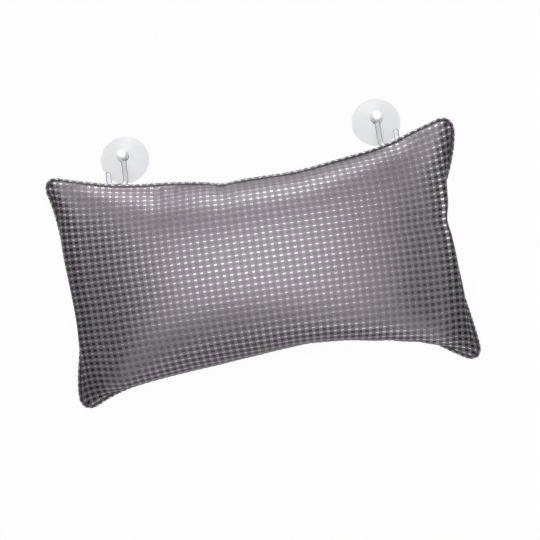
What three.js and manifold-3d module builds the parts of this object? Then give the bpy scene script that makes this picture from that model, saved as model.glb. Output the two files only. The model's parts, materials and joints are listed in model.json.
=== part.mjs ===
// Bath pillow with two clear suction cups, lying on its back.
// Millimetres, +Z up. +X runs along the pillow and +Y towards the edge that carries the cups.
// The origin is the centre of the flat patch on which the back rests.
import * as THREE from "three";
import { mergeVertices } from "three/addons/utils/BufferGeometryUtils.js";
import Module from "manifold-3d";

const wasm = await Module();
wasm.setup();

// Cover
const TIP_LENGTH = 376; // between the corner tips, along X
const TIP_HEIGHT = 211; // between the corner tips, along Y
const LONG_EDGE_DRAW = 28; // how far the filling draws in the middle of a long edge
const SHORT_EDGE_DRAW = 12; // the same for a short edge
const CORNER_RADIUS = 10;
const FRONT_CROWN = 46; // from the seam plane to the highest point
const BACK_CROWN = 38; // from the seam plane to the lowest point, before it is flattened
const REST_DEPTH = 2.5; // how deep the back is flattened where it lies
const CLOTH = 2; // thickness of a padded panel
const FIT_GAP = 0.3; // left between pieces that touch

// The swell of a panel, across and along the pillow. Fullness is how far out from the middle it stays
// high, and rounding is how evenly it then falls to the seam: less is a steeper edge.
const FRONT_SWELL = { fullness: { across: 2.1, along: 2 }, rounding: { across: 0.4, along: 0.65 } };
const BACK_SWELL = { fullness: { across: 6, along: 3 }, rounding: { across: 0.8, along: 0.6 } };
const OVAL_POWER = 2.5; // the middle of a panel swells in ovals: 2 is an ellipse, more is squarer
const EAR_SHARPNESS = 10; // how late those ovals turn into the outline with its ears

// Piping
const PIPING_RADIUS = 1.8;
const SEAM_ALLOWANCE = 8; // width of the tongue sewn between the panels
const TONGUE = 1.2; // thickness of that tongue

// Suction cups
const CUP_RADIUS = 23;
const LIP_WIDTH = 2; // flat ring that seals on the wall
const LIP_THICKNESS = 1;
const HOLLOW_DEPTH = 7;
const SHOULDER_HEIGHT = 10; // from the lip to the foot of the neck
const NECK_RADIUS = 3.5;
const NECK_LENGTH = 8;
const KNOB_RADIUS = 4.6;
const DOME_FULLNESS = 1.2; // 1 is a plain cone

// Hooks
const HOOK_SPACING = 258; // between the middles of the two U bends
const ROD_RADIUS = 2.4;
const COLLAR_CLEARANCE = 0.4; // between the cup's neck and the collar's bore
const COLLAR_WALL = 1.6;
const COLLAR_THICKNESS = 3.6;
const COLLAR_LIFT = 1.3; // from the foot of the neck to the collar
const REACH = 29; // from the cup's axis to the bottom of the U
const BEND_RADIUS = 6.5;
const BEND_STRAIGHT = 3; // between the two bends of the U
const TIP_RISE = 7; // from the end of the bend to the tip's centre

// Hanging loops
const TAPE_WIDTH = 5;
const TAPE = 1; // thickness of the tape
const EYE_CLEARANCE = 0.4; // between the hook's rod and the tape round it
const EYE_OUTSET = 1; // from the seam to the eye's centre, outwards
const EYE_DROP = 9.5; // from the seam plane to the eye's centre, downwards

// Facets
const CORNER_STEPS = 4;
const LONG_EDGE_STEPS = 14;
const SHORT_EDGE_STEPS = 8;
const RINGS = [0.18, 0.35, 0.54, 0.7, 0.81, 0.89, 0.95, 0.985, 1];
const CUP_STEPS = 32;
const DOME_STEPS = 6;
const KNOB_STEPS = 6;
const ROD_SIDES = 12;
const ROD_STEPS = 30;
const EYE_STEPS = 24;
const PIPING_SIDES = 8;
const SLOPE_ROUNDS = 20; // repeats after which an edge's slope has settled

const SEAM_Z = BACK_CROWN - REST_DEPTH;
const PLY_GAP = TONGUE + 2 * FIT_GAP; // between the rims of the two panels
const TIP_OFFSET = 2 * BEND_RADIUS + BEND_STRAIGHT; // from the hook's shank to its tip

const cloth = new THREE.MeshStandardMaterial({ color: 0x86828a, roughness: 0.55, metalness: 0 });
const trim = new THREE.MeshStandardMaterial({ color: 0x77737c, roughness: 0.6, metalness: 0 });
const fibre = new THREE.MeshStandardMaterial({ color: 0xf2f0ea, roughness: 0.95, metalness: 0 });
const tape = new THREE.MeshStandardMaterial({ color: 0x6f6c74, roughness: 0.8, metalness: 0 });
const clearPlastic = new THREE.MeshStandardMaterial({
  color: 0xe9edf2,
  roughness: 0.12,
  metalness: 0,
  transparent: true,
  opacity: 0.45,
});
const clearVinyl = new THREE.MeshStandardMaterial({
  color: 0xf1f2f3,
  roughness: 0.2,
  metalness: 0,
  transparent: true,
  opacity: 0.5,
});

function meshOf(name, geometry, material) {
  const mesh = new THREE.Mesh(geometry, material.clone());
  mesh.name = name;
  return mesh;
}

// A closed geometry as a solid that can be joined.
function solidOf(geometry) {
  const bare = geometry.clone();
  bare.deleteAttribute("normal");
  bare.deleteAttribute("uv");
  const merged = mergeVertices(bare, 1e-4);
  const mesh = new wasm.Mesh({
    numProp: 3,
    vertProperties: new Float32Array(merged.attributes.position.array),
    triVerts: new Uint32Array(merged.index.array),
  });
  return new wasm.Manifold(mesh);
}

function geometryOf(solid) {
  const { vertProperties, triVerts } = solid.getMesh();
  const geometry = new THREE.BufferGeometry();
  geometry.setAttribute("position", new THREE.BufferAttribute(vertProperties, 3));
  geometry.setIndex(new THREE.BufferAttribute(triVerts, 1));
  return geometry;
}

// The slope at which an edge that is drawn in by draw leaves its two corner arcs.
function edgeSlope(length, draw) {
  let slope = 0;
  for (let i = 0; i < SLOPE_ROUNDS; i++) {
    const sag = draw - CORNER_RADIUS * (1 - Math.cos(slope));
    const chord = length - 2 * CORNER_RADIUS * (1 + Math.sin(slope));
    slope = Math.atan((4 * sag) / chord);
  }
  return slope;
}

const longSlope = edgeSlope(TIP_LENGTH, LONG_EDGE_DRAW);
const shortSlope = edgeSlope(TIP_HEIGHT, SHORT_EDGE_DRAW);

// Height above the pillow's middle of the top seam at x, between its corner arcs.
function topSeam(x) {
  const end = TIP_LENGTH / 2 - CORNER_RADIUS * (1 + Math.sin(longSlope));
  const sag = LONG_EDGE_DRAW - CORNER_RADIUS * (1 - Math.cos(longSlope));
  return TIP_HEIGHT / 2 - LONG_EDGE_DRAW + sag * (x / end) ** 2;
}

// A stretch of the seam: points from one end to just before the other, with outward normals.
function edgeStretch(from, to, fromNormal, toNormal, steps) {
  const leaving = new THREE.Vector2(-fromNormal.y, fromNormal.x);
  const arriving = new THREE.Vector2(-toNormal.y, toNormal.x);
  const chord = to.clone().sub(from);
  const along = chord.cross(arriving) / leaving.cross(arriving);
  const handle = from.clone().addScaledVector(leaving, along);
  const curve = new THREE.QuadraticBezierCurve(from, handle, to);
  return Array.from({ length: steps }, (_, i) => {
    const tangent = curve.getTangent(i / steps);
    return { at: curve.getPoint(i / steps), normal: new THREE.Vector2(tangent.y, -tangent.x) };
  });
}

function cornerStretch(centre, start, end) {
  return Array.from({ length: CORNER_STEPS }, (_, i) => {
    const angle = start + ((end - start) * i) / CORNER_STEPS;
    const normal = new THREE.Vector2(Math.cos(angle), Math.sin(angle));
    return { at: centre.clone().addScaledVector(normal, CORNER_RADIUS), normal };
  });
}

// The seam line, anticlockwise from the right-hand end of the top right corner's arc.
function seamLine() {
  const x = TIP_LENGTH / 2 - CORNER_RADIUS;
  const y = TIP_HEIGHT / 2 - CORNER_RADIUS;
  const quarter = Math.PI / 2;
  const corners = [
    { centre: new THREE.Vector2(x, y), start: -shortSlope, end: quarter + longSlope },
    { centre: new THREE.Vector2(-x, y), start: quarter - longSlope, end: 2 * quarter + shortSlope },
    { centre: new THREE.Vector2(-x, -y), start: 2 * quarter - shortSlope, end: 3 * quarter + longSlope },
    { centre: new THREE.Vector2(x, -y), start: 3 * quarter - longSlope, end: 4 * quarter + shortSlope },
  ];
  return corners.flatMap(({ centre, start, end }, i) => {
    const next = corners[(i + 1) % corners.length];
    const fromNormal = new THREE.Vector2(Math.cos(end), Math.sin(end));
    const toNormal = new THREE.Vector2(Math.cos(next.start), Math.sin(next.start));
    const from = centre.clone().addScaledVector(fromNormal, CORNER_RADIUS);
    const to = next.centre.clone().addScaledVector(toNormal, CORNER_RADIUS);
    const steps = i % 2 ? SHORT_EDGE_STEPS : LONG_EDGE_STEPS;
    return [
      ...cornerStretch(centre, start, end),
      ...edgeStretch(from, to, fromNormal, toNormal, steps),
    ];
  });
}

const seam = seamLine();
const waist = {
  x: TIP_LENGTH / 2 - SHORT_EDGE_DRAW,
  y: TIP_HEIGHT / 2 - LONG_EDGE_DRAW,
};
const bearings = seam.map(({ at }) => Math.atan2(at.y / waist.y, at.x / waist.x));

function ovalPoint(bearing, inset) {
  const stretch = (share) => Math.sign(share) * Math.abs(share) ** (2 / OVAL_POWER);
  const x = (waist.x - inset) * stretch(Math.cos(bearing));
  const y = (waist.y - inset) * stretch(Math.sin(bearing));
  return new THREE.Vector2(x, y);
}

// Vertices of a crowned face: its middle, then the rings out to the seam line inset by inset.
// Its rim lies at height rim and its middle at height rim + crown, and nothing is lower than floor.
function crownedFace({ inset, rim, crown, swell, floor = -Infinity }) {
  const vertices = [new THREE.Vector3(0, 0, Math.max(rim + crown, floor))];
  for (const ring of RINGS) {
    seam.forEach(({ at, normal }, i) => {
      const share = Math.cos(bearings[i]) ** 2;
      const power = THREE.MathUtils.lerp(swell.fullness.across, swell.fullness.along, share);
      const rounding = THREE.MathUtils.lerp(swell.rounding.across, swell.rounding.along, share);
      const oval = ovalPoint(bearings[i], inset);
      const outline = at.clone().addScaledVector(normal, -inset);
      const flat = oval.lerp(outline, ring ** EAR_SHARPNESS).multiplyScalar(ring);
      const height = rim + crown * (1 - ring ** power) ** rounding;
      vertices.push(new THREE.Vector3(flat.x, flat.y, Math.max(height, floor)));
    });
  }
  return vertices;
}

// Triangles over a crowned face whose middle is vertex base, facing up.
function faceTriangles(base) {
  const count = seam.length;
  const triangles = [];
  for (let i = 0; i < count; i++) {
    const next = (i + 1) % count;
    triangles.push(base, base + 1 + i, base + 1 + next);
    for (let ring = 1; ring < RINGS.length; ring++) {
      const inner = base + 1 + (ring - 1) * count;
      const outer = inner + count;
      triangles.push(inner + i, outer + i, outer + next, inner + i, outer + next, inner + next);
    }
  }
  return triangles;
}

// A solid between two crowned faces, upper and lower, closed round the rim.
// Where both faces have the same rim, the two rims become one.
function cushionGeometry(upper, lower) {
  const upperFaces = faceTriangles(0);
  const lowerFaces = faceTriangles(upper.length);
  const upperRim = upper.length - seam.length;
  const lowerRim = upperRim + upper.length;
  const triangles = [...upperFaces];
  for (let i = 0; i < lowerFaces.length; i += 3) {
    triangles.push(lowerFaces[i], lowerFaces[i + 2], lowerFaces[i + 1]);
  }
  seam.forEach((_, i) => {
    const next = (i + 1) % seam.length;
    triangles.push(upperRim + i, lowerRim + i, lowerRim + next);
    triangles.push(upperRim + i, lowerRim + next, upperRim + next);
  });
  const geometry = new THREE.BufferGeometry().setFromPoints([...upper, ...lower]);
  geometry.setIndex(triangles);
  return geometry;
}

function frontPanel() {
  const rim = SEAM_Z + PLY_GAP / 2;
  const crown = FRONT_CROWN - PLY_GAP / 2;
  const outer = crownedFace({ inset: 0, rim, crown, swell: FRONT_SWELL });
  const inner = crownedFace({ inset: CLOTH, rim, crown: crown - CLOTH, swell: FRONT_SWELL });
  return meshOf("front_panel", cushionGeometry(outer, inner), cloth);
}

function backPanel() {
  const rim = SEAM_Z - PLY_GAP / 2;
  const crown = PLY_GAP / 2 - BACK_CROWN;
  const swell = BACK_SWELL;
  const outer = crownedFace({ inset: 0, rim, crown, swell, floor: 0 });
  const inner = crownedFace({ inset: CLOTH, rim, crown: crown + CLOTH, swell, floor: CLOTH });
  return meshOf("back_panel", cushionGeometry(inner, outer), cloth);
}

// The filling keeps clear of the piping's tongue at the seam and of the panels elsewhere.
function fibreFilling() {
  const inset = SEAM_ALLOWANCE + FIT_GAP;
  const skin = CLOTH + FIT_GAP;
  const rim = SEAM_Z;
  const front = crownedFace({
    inset,
    rim: rim + FIT_GAP,
    crown: FRONT_CROWN - skin - FIT_GAP,
    swell: FRONT_SWELL,
  });
  const back = crownedFace({
    inset,
    rim: rim - FIT_GAP,
    crown: skin + FIT_GAP - BACK_CROWN,
    swell: BACK_SWELL,
    floor: skin,
  });
  return meshOf("fibre_filling", cushionGeometry(front, back), fibre);
}

// The piping's section, outwards and up from the seam: a tongue between the panels and a round cord.
function pipingSection() {
  const centre = FIT_GAP + PIPING_RADIUS;
  const half = TONGUE / 2;
  const root = Math.asin(half / PIPING_RADIUS);
  const section = [];
  for (let i = 0; i <= PIPING_SIDES; i++) {
    const angle = -Math.PI + root + ((2 * Math.PI - 2 * root) * i) / PIPING_SIDES;
    const out = centre + PIPING_RADIUS * Math.cos(angle);
    section.push(new THREE.Vector2(out, PIPING_RADIUS * Math.sin(angle)));
  }
  section.push(new THREE.Vector2(-SEAM_ALLOWANCE, half), new THREE.Vector2(-SEAM_ALLOWANCE, -half));
  return section;
}

function edgePiping() {
  const section = pipingSection();
  const vertices = seam.flatMap(({ at, normal }) =>
    section.map(({ x, y }) => {
      const flat = at.clone().addScaledVector(normal, x);
      return new THREE.Vector3(flat.x, flat.y, SEAM_Z + y);
    }),
  );
  const triangles = [];
  seam.forEach((_, i) => {
    const here = i * section.length;
    const there = ((i + 1) % seam.length) * section.length;
    section.forEach((_, k) => {
      const next = (k + 1) % section.length;
      triangles.push(here + k, there + k, there + next, here + k, there + next, here + next);
    });
  });
  const geometry = new THREE.BufferGeometry().setFromPoints(vertices);
  geometry.setIndex(triangles);
  return meshOf("edge_piping", geometry, trim);
}

// A cup standing on its lip, its axis along Z.
function suctionCup(name) {
  const hollowRadius = CUP_RADIUS - LIP_WIDTH;
  const knobSeat = Math.sqrt(KNOB_RADIUS ** 2 - NECK_RADIUS ** 2);
  const knobCentre = SHOULDER_HEIGHT + NECK_LENGTH + knobSeat;
  const profile = [];
  for (let i = 0; i < DOME_STEPS; i++) {
    const share = i / DOME_STEPS;
    profile.push(new THREE.Vector2(hollowRadius * share, HOLLOW_DEPTH * (1 - share ** 2)));
  }
  profile.push(new THREE.Vector2(hollowRadius, 0), new THREE.Vector2(CUP_RADIUS, 0));
  for (let i = 0; i <= DOME_STEPS; i++) {
    const share = 1 - i / DOME_STEPS;
    const radius = NECK_RADIUS + (CUP_RADIUS - NECK_RADIUS) * share;
    const rise = (SHOULDER_HEIGHT - LIP_THICKNESS) * (1 - share ** DOME_FULLNESS);
    profile.push(new THREE.Vector2(radius, LIP_THICKNESS + rise));
  }
  const seat = Math.acos(-knobSeat / KNOB_RADIUS);
  for (let i = 0; i < KNOB_STEPS; i++) {
    const angle = seat * (1 - i / KNOB_STEPS);
    const radius = KNOB_RADIUS * Math.sin(angle);
    profile.push(new THREE.Vector2(radius, knobCentre + KNOB_RADIUS * Math.cos(angle)));
  }
  profile.push(new THREE.Vector2(0, knobCentre + KNOB_RADIUS));
  const geometry = new THREE.LatheGeometry(profile, CUP_STEPS).rotateX(Math.PI / 2);
  return meshOf(name, geometry, clearVinyl);
}

// A hook lying flat: the U's bottom runs along X through the origin, the shank towards +Y.
// side is the side of the U, along X, on which its tip stands.
function hook(name, side) {
  const shankX = (-side * TIP_OFFSET) / 2;
  const boreRadius = NECK_RADIUS + COLLAR_CLEARANCE;
  const collarRadius = boreRadius + COLLAR_WALL;
  const bendY = BEND_RADIUS;
  const bendX = (side * BEND_STRAIGHT) / 2;
  const tipY = bendY + TIP_RISE;
  const point = (x, y) => new THREE.Vector3(x, y, 0);
  const path = new THREE.CurvePath();
  const bend = (from, corner, to) => {
    const pull = 0.5523; // handle length of a cubic quarter circle
    const a = from.clone().lerp(corner, pull);
    const b = to.clone().lerp(corner, pull);
    path.add(new THREE.CubicBezierCurve3(from, a, b, to));
  };
  const shankTop = REACH - (boreRadius + collarRadius) / 2; // inside the collar's wall
  path.add(new THREE.LineCurve3(point(shankX, shankTop), point(shankX, bendY)));
  bend(point(shankX, bendY), point(shankX, 0), point(-bendX, 0));
  path.add(new THREE.LineCurve3(point(-bendX, 0), point(bendX, 0)));
  bend(point(bendX, 0), point(-shankX, 0), point(-shankX, bendY));
  path.add(new THREE.LineCurve3(point(-shankX, bendY), point(-shankX, tipY)));

  const section = new THREE.Shape();
  for (let i = 0; i < ROD_SIDES; i++) {
    const angle = (2 * Math.PI * i) / ROD_SIDES;
    const corner = [ROD_RADIUS * Math.cos(angle), ROD_RADIUS * Math.sin(angle)];
    if (i) section.lineTo(...corner);
    else section.moveTo(...corner);
  }
  const rod = new THREE.ExtrudeGeometry(section, { steps: ROD_STEPS, extrudePath: path });
  const tip = new THREE.SphereGeometry(ROD_RADIUS, ROD_SIDES, ROD_SIDES / 2).translate(-shankX, tipY, 0);
  const half = COLLAR_THICKNESS / 2;
  const ring = [
    new THREE.Vector2(boreRadius, -half),
    new THREE.Vector2(collarRadius, -half),
    new THREE.Vector2(collarRadius, half),
    new THREE.Vector2(boreRadius, half),
    new THREE.Vector2(boreRadius, -half),
  ];
  const collar = new THREE.LatheGeometry(ring, CUP_STEPS).rotateX(Math.PI / 2).translate(shankX, REACH, 0);
  const drillLength = 2 * (2 * ROD_RADIUS); // well past both sides of the rod
  const neckHole = new THREE.CylinderGeometry(boreRadius, boreRadius, drillLength, CUP_STEPS)
    .rotateX(Math.PI / 2)
    .translate(shankX, REACH, 0);
  const solid = solidOf(rod).add(solidOf(tip)).add(solidOf(collar)).subtract(solidOf(neckHole));
  return meshOf(name, geometryOf(solid), clearPlastic);
}

// A tape loop round the U's bottom, which runs along X through the origin.
// Its tail goes up to the underside of the piping, beside the back panel's rim.
function hangingLoop(name) {
  const eye = ROD_RADIUS + EYE_CLEARANCE;
  const outside = eye + TAPE;
  const tailTop = EYE_DROP - PIPING_RADIUS - FIT_GAP;
  const tailInner = FIT_GAP - EYE_OUTSET + (TAPE_WIDTH / 2) * Math.tan(longSlope);
  const tailOuter = tailInner + 2 * TAPE;
  const leave = Math.asin(tailOuter / outside);
  const wrap = 1.5 * Math.PI - leave; // from the eye's inner side, underneath, to the tail
  const outline = new THREE.Shape();
  outline.moveTo(tailInner, tailTop);
  outline.lineTo(-outside, 0);
  for (let i = 1; i < EYE_STEPS; i++) {
    const angle = Math.PI + (wrap * i) / EYE_STEPS;
    outline.lineTo(outside * Math.cos(angle), outside * Math.sin(angle));
  }
  outline.lineTo(tailOuter, outside * Math.cos(leave));
  outline.lineTo(tailOuter, tailTop);
  outline.closePath();
  const hole = new THREE.Path().absarc(0, 0, eye, 0, 2 * Math.PI, true);
  outline.holes.push(hole);
  const geometry = new THREE.ExtrudeGeometry(outline, {
    depth: TAPE_WIDTH,
    bevelEnabled: false,
    curveSegments: EYE_STEPS / 2,
  });
  // The shape's x becomes +Y and its y becomes +Z.
  geometry.translate(0, 0, -TAPE_WIDTH / 2);
  geometry.applyMatrix4(new THREE.Matrix4().set(0, 0, 1, 0, 1, 0, 0, 0, 0, 1, 0, 0, 0, 0, 0, 1));
  return meshOf(name, geometry, tape);
}

// How far a hook hangs down from the seam plane for its cup's far rim to lie on the surface.
function hookDroop(collarHeight) {
  const arm = REACH + CUP_RADIUS;
  const rodHeight = SEAM_Z - EYE_DROP - FIT_GAP;
  return Math.asin(rodHeight / Math.hypot(arm, collarHeight)) - Math.atan(collarHeight / arm);
}

// One loop with its hook and cup, at the top edge. side is -1 at the left and 1 at the right.
function hanger(side, word) {
  const collarHeight = SHOULDER_HEIGHT + COLLAR_LIFT + COLLAR_THICKNESS / 2;
  const group = new THREE.Group();
  const x = (side * HOOK_SPACING) / 2;
  group.position.set(x, topSeam(x) + EYE_OUTSET, SEAM_Z - EYE_DROP);
  const swing = new THREE.Group();
  swing.rotation.x = -hookDroop(collarHeight);
  const cup = suctionCup(`${word}_suction_cup`);
  cup.position.set((-side * TIP_OFFSET) / 2, REACH, -collarHeight);
  swing.add(hook(`${word}_hook`, side), cup);
  group.add(hangingLoop(`${word}_hanging_loop`), swing);
  return group;
}

const pillow = new THREE.Group();
pillow.add(frontPanel(), backPanel(), fibreFilling(), edgePiping());
pillow.add(hanger(-1, "left"), hanger(1, "right"));

export default pillow;
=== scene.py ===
# %% [markdown]
# # A bath pillow on two suction cups
# The pillow is two panels of shiny dobby mesh sewn together round the edge and stuffed with fibre.
# Two tape loops in the top seam carry clear plastic hooks, and each hook carries a clear suction cup.
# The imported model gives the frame: where each solid is and which body moves it. Everything soft or
# see-through is made again here with more detail, and rides on the same bodies.

# %% Load the frame
import json
import math

import bmesh
import bpy
import numpy as np
from mathutils import Matrix, Vector


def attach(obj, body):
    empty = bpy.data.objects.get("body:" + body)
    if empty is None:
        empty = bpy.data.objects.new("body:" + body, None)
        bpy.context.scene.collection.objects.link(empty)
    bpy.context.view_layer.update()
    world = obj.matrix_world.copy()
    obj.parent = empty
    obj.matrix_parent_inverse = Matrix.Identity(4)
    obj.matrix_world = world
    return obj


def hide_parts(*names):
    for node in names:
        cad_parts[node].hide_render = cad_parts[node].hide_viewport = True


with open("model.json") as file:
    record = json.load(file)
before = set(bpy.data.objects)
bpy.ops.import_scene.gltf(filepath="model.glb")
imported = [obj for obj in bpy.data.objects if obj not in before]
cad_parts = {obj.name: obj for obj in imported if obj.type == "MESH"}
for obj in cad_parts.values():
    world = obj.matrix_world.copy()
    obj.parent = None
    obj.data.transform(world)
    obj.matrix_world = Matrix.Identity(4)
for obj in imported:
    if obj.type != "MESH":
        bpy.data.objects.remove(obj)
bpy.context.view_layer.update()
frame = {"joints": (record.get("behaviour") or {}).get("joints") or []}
MM = 0.001
scene = bpy.context.scene
scene.view_settings.view_transform = "Standard"

# %% [markdown]
# ## Camera
# The photograph looks almost straight down on the pillow, from a little towards the edge with the
# cups, with the pillow turned a few degrees in the picture. Turning the camera instead of the pillow
# keeps the pillow in the frame's own axes. A long lens keeps the outline nearly free of perspective.

# %% Camera
SEAM_Z = 35.5  # the plane of the seam, in millimetres above the floor
PICTURE_TURN = math.radians(8.5)
CAMERA_TILT = math.radians(3)
CAMERA_DISTANCE = 1.193
aim = Vector((0.6, -4.4, SEAM_Z)) * MM

picture_right = Vector((math.cos(PICTURE_TURN), -math.sin(PICTURE_TURN), 0))
picture_up = Vector((math.sin(PICTURE_TURN), math.cos(PICTURE_TURN), 0))
towards_camera = picture_up * math.sin(CAMERA_TILT) + Vector((0, 0, math.cos(CAMERA_TILT)))


def standing_at(place, right, out):
    """A matrix for an object at place whose X is right and whose Z is out."""
    turn = Matrix((right, out.cross(right), out)).transposed().to_4x4()
    return Matrix.Translation(place) @ turn


camera = bpy.data.objects.new("camera", bpy.data.cameras.new("camera"))
camera.data.lens = 85
camera.matrix_world = standing_at(aim + towards_camera * CAMERA_DISTANCE, picture_right, towards_camera)
scene.collection.objects.link(camera)
scene.camera = camera
print("camera at", [round(x, 3) for x in camera.location])

# %% [markdown]
# ## Light, floor and background
# The cloth shows its weave through small glossy floats, which need a wide softbox to mirror. It hangs
# over the pillow. A panel beyond the cups lights the upper edge and a weaker one the lower edge.
# The set is a white floor and a white wall all round, under a dark ceiling that leaves the leaning ends
# of the pillow darker. The floor is white because it glows for the camera, in reflections and through
# clear plastic, and not because more light falls on the pillow. A small share of it takes the shadow.

# %% Lamps
def softbox(name, direction, distance, size, watts):
    """A flat lamp of size (along, across) that faces the pillow."""
    out = Vector(direction).normalized()
    right = Vector((0, 1, 0)).cross(out).normalized()
    lamp = bpy.data.objects.new(name, bpy.data.lights.new(name, "AREA"))
    lamp.data.shape = "RECTANGLE"
    lamp.data.size, lamp.data.size_y = size
    lamp.data.energy = watts
    lamp.matrix_world = standing_at(aim + out * distance, right, out)
    scene.collection.objects.link(lamp)


softbox("key_softbox", (-0.03, 0.12, 0.98), 1.7, (2.2, 0.9), 32)
softbox("top_panel", (0.02, 0.96, 0.26), 1.8, (0.6, 1.2), 18)
softbox("front_panel_light", (0.2, -0.78, 0.58), 1.8, (1.2, 0.8), 9)

# %% Floor and world
WHITE_SHARE = 0.95  # how much of the floor's look is plain white, and the rest takes shadow
WALL_TOP, WALL_FADE = 0.28, 0.5  # heights, as sines, up to which the wall is white and where it ends
CEILING = 0.04
FLOOR_HALF = 4.0  # metres
FLOOR_DROP = 0.0003  # keeps the floor just clear of the back


def background_rays(tree):
    """1 for rays that see the background: from the camera, in a reflection or through clear plastic."""
    path = tree.nodes.new("ShaderNodeLightPath")
    seen = path.outputs["Is Camera Ray"]
    for ray in ("Is Glossy Ray", "Is Transmission Ray"):
        most = tree.nodes.new("ShaderNodeMath")
        most.operation = "MAXIMUM"
        tree.links.new(seen, most.inputs[0])
        tree.links.new(path.outputs[ray], most.inputs[1])
        seen = most.outputs[0]
    return seen


floor_material = bpy.data.materials.new("pale_floor")
floor_material.use_nodes = True
tree = floor_material.node_tree
matt = tree.nodes["Principled BSDF"]
matt.inputs["Base Color"].default_value = (0.55, 0.55, 0.55, 1)
matt.inputs["Roughness"].default_value = 0.9
glow = tree.nodes.new("ShaderNodeEmission")
share = tree.nodes.new("ShaderNodeMath")
share.operation = "MULTIPLY"
share.inputs[1].default_value = WHITE_SHARE
tree.links.new(background_rays(tree), share.inputs[0])
mix = tree.nodes.new("ShaderNodeMixShader")
tree.links.new(share.outputs[0], mix.inputs[0])
tree.links.new(matt.outputs[0], mix.inputs[1])
tree.links.new(glow.outputs[0], mix.inputs[2])
tree.links.new(mix.outputs[0], tree.nodes["Material Output"].inputs["Surface"])

floor_mesh = bpy.data.meshes.new("floor")
floor_corners = [(x * FLOOR_HALF, y * FLOOR_HALF, 0) for x, y in ((-1, -1), (1, -1), (1, 1), (-1, 1))]
floor_mesh.from_pydata(floor_corners, [], [(0, 1, 2, 3)])
floor_mesh.materials.append(floor_material)
floor = bpy.data.objects.new("floor", floor_mesh)
floor.location.z = -FLOOR_DROP
scene.collection.objects.link(floor)

world = bpy.data.worlds.new("studio")
world.use_nodes = True
scene.world = world
tree = world.node_tree
looking = tree.nodes.new("ShaderNodeSeparateXYZ")
tree.links.new(tree.nodes.new("ShaderNodeTexCoord").outputs["Generated"], looking.inputs[0])
wall = tree.nodes.new("ShaderNodeMapRange")
wall.interpolation_type = "SMOOTHSTEP"
tree.links.new(looking.outputs[2], wall.inputs["Value"])
for socket, value in zip(("From Min", "From Max", "To Min", "To Max"), (WALL_TOP, WALL_FADE, 1.0, CEILING)):
    wall.inputs[socket].default_value = value
tree.links.new(wall.outputs[0], tree.nodes["Background"].inputs["Color"])
print("floor", tuple(floor.dimensions))

# %% [markdown]
# ## The cut panels
# Both panels are cut as one plain rectangle with rounded corners. Sewing and stuffing draw the middle
# of each edge in, and the corners stay out as ears. So the panel has two shapes: the flat cut, whose
# lines the weave follows, and the drawn-in outline, which is patched together from four edge curves.

# %% Edge curves
CUT = np.array([392.0, 200.0])  # the flat cut, in millimetres
CUT_CORNER = 14.0
TOP_LEFT, TOP_RIGHT = (-196.5, 111), (189, 113.5)
BOTTOM_LEFT, BOTTOM_RIGHT = (-192.5, -111), (184.5, -119)
TOP_EDGE = [
    (-153.5, 98.9), (-130, 93.4), (-112, 90.8), (-79.5, 87.8), (-48.5, 83.4), (-32.5, 79.8), (-13.5, 80.8),
    (39.5, 81.5), (79.5, 86.3), (116, 91.5), (130, 94.7), (147.5, 100.5),
]
BOTTOM_EDGE = [
    (-163.5, -98), (-141.5, -91.8), (-109.5, -87.3), (-65.5, -83), (-23.5, -76), (38.5, -69.7), (72.5, -71.7),
    (106.5, -77.5), (136.5, -89), (161.5, -105),
]
LEFT_EDGE = [(-192, -89), (-184.5, -49), (-179.5, -17.5), (-182.5, 11), (-186, 52), (-190, 86)]
RIGHT_EDGE = [
    (182.5, -99), (176.5, -63), (168, -21), (161.8, 3), (158.6, 17), (165, 36), (178, 64.5), (185, 86),
]


def smooth_curve(points, along, share):
    """Points at the given shares of a smooth curve through points that advance along one axis."""
    knots = np.array(points, float)
    at = (knots[:, along] - knots[0, along]) / (knots[-1, along] - knots[0, along])
    slopes = np.gradient(knots, at, axis=0)
    i = np.clip(np.searchsorted(at, share) - 1, 0, len(at) - 2)
    step = (at[i + 1] - at[i])[..., None]
    t = ((share - at[i]) / (at[i + 1] - at[i]))[..., None]
    here = (1 + 2 * t) * (1 - t) ** 2 * knots[i] + t * (1 - t) ** 2 * step * slopes[i]
    there = t**2 * (3 - 2 * t) * knots[i + 1] + t**2 * (t - 1) * step * slopes[i + 1]
    return here + there


def drawn_in(s, t):
    """Where the sewn panel's point lies in the seam plane; s and t run from -1 to 1 over the cut."""
    u, v = (s + 1) / 2, (t + 1) / 2
    top = smooth_curve([TOP_LEFT, *TOP_EDGE, TOP_RIGHT], 0, u)
    bottom = smooth_curve([BOTTOM_LEFT, *BOTTOM_EDGE, BOTTOM_RIGHT], 0, u)
    left = smooth_curve([BOTTOM_LEFT, *LEFT_EDGE, TOP_LEFT], 1, v)
    right = smooth_curve([BOTTOM_RIGHT, *RIGHT_EDGE, TOP_RIGHT], 1, v)
    u, v = u[..., None], v[..., None]
    low = (1 - u) * np.array(BOTTOM_LEFT) + u * np.array(BOTTOM_RIGHT)
    high = (1 - u) * np.array(TOP_LEFT) + u * np.array(TOP_RIGHT)
    return (1 - v) * (bottom - low) + v * (top - high) + (1 - u) * left + u * right


def cut_grid(columns, rows):
    """A grid over the cut, from -1 to 1 each way, with its corners rounded off."""
    s, t = np.meshgrid(np.linspace(-1, 1, columns + 1), np.linspace(-1, 1, rows + 1), indexing="ij")
    corner = 2 * CUT_CORNER / CUT
    into = [np.clip((np.abs(a) - 1 + c) / c, 0, 1) for a, c in zip((s, t), corner)]
    off = [a * (1 - np.sqrt(1 - b**2 / 2)) * c for a, b, c in zip(into, into[::-1], corner)]
    return s - np.sign(s) * off[0], t - np.sign(t) * off[1]


edge_middles = drawn_in(np.array([0, 0, -1, 1.0]), np.array([1, -1, 0, 0.0]))
print("outline at the middles", edge_middles.round(1).tolist())

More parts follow.
